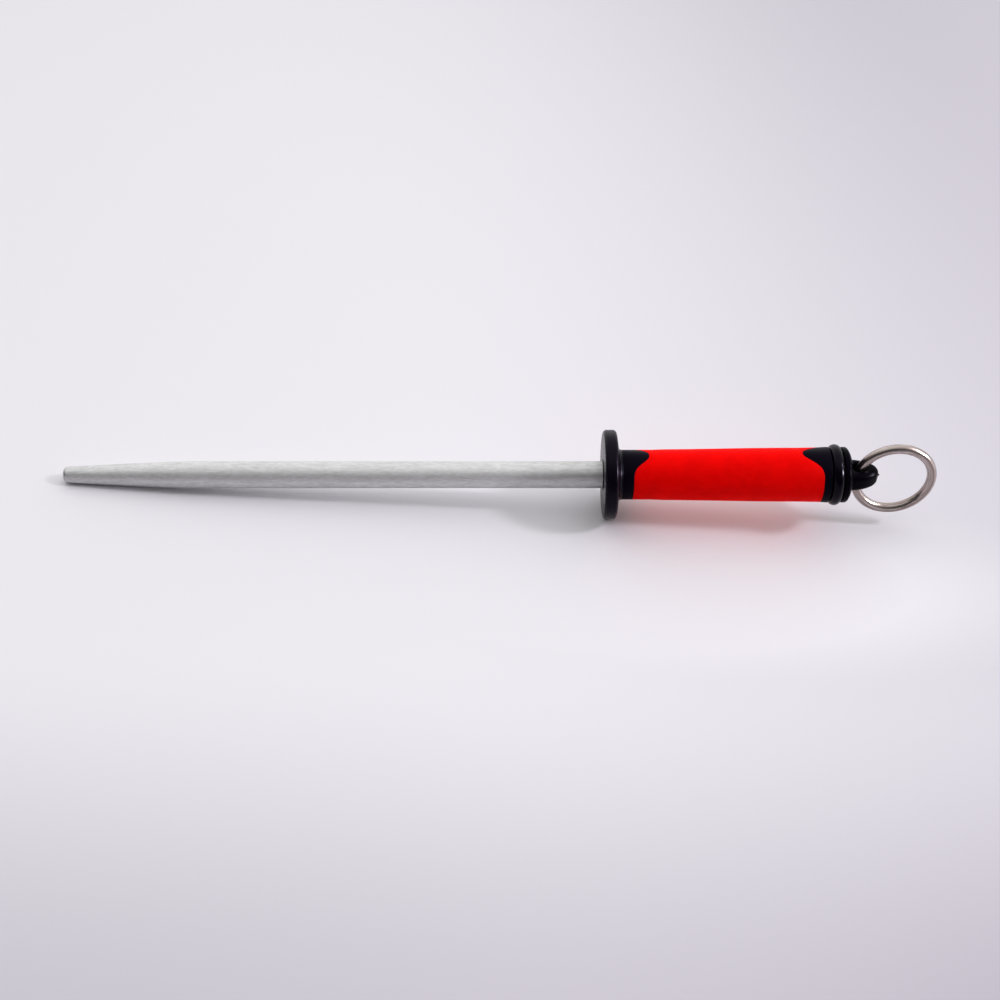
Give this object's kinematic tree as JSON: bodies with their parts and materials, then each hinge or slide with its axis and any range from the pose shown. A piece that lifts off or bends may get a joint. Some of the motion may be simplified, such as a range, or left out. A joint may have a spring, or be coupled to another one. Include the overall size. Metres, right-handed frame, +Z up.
{
  "type": "knife sharpening steel",
  "caption": "Round sharpening steel with a disc finger guard, a two-colour moulded handle, and a loose hanging ring through a tab at the butt.",
  "frame": {"origin": "middle of the footprint, on the surface that the steel lies on", "axes": "+X from the bar's tip towards the butt, level; +Z up; the bar's axis rises from tip to butt at about 3.9 degrees in the XZ plane"},
  "size_m": [0.4852, 0.0498, 0.0565],
  "materials": {
    "rod_steel": "satin, ground lengthwise",
    "black_plastic": "fine moulded texture",
    "cap_plastic": "semi-gloss",
    "red_grip": "smooth soft-touch",
    "ring_steel": "drawn wire, satin"
  },
  "bodies": {
    "tool": {"sharpening_rod": "rod_steel", "finger_guard": "black_plastic", "handle_core": "black_plastic", "grip_sleeve": "red_grip", "butt_bead": "black_plastic", "butt_cap": "cap_plastic"},
    "ring": {"hanging_ring": "ring_steel"}
  },
  "joints": [
    {"name": "ring_swing", "type": "hinge", "parent": "tool", "child": "ring", "pos_m": [0.19805, 0, 0.03437], "axis": [0.0714, 0, 0.9974], "range_deg": [-88, 88]}
  ]
}
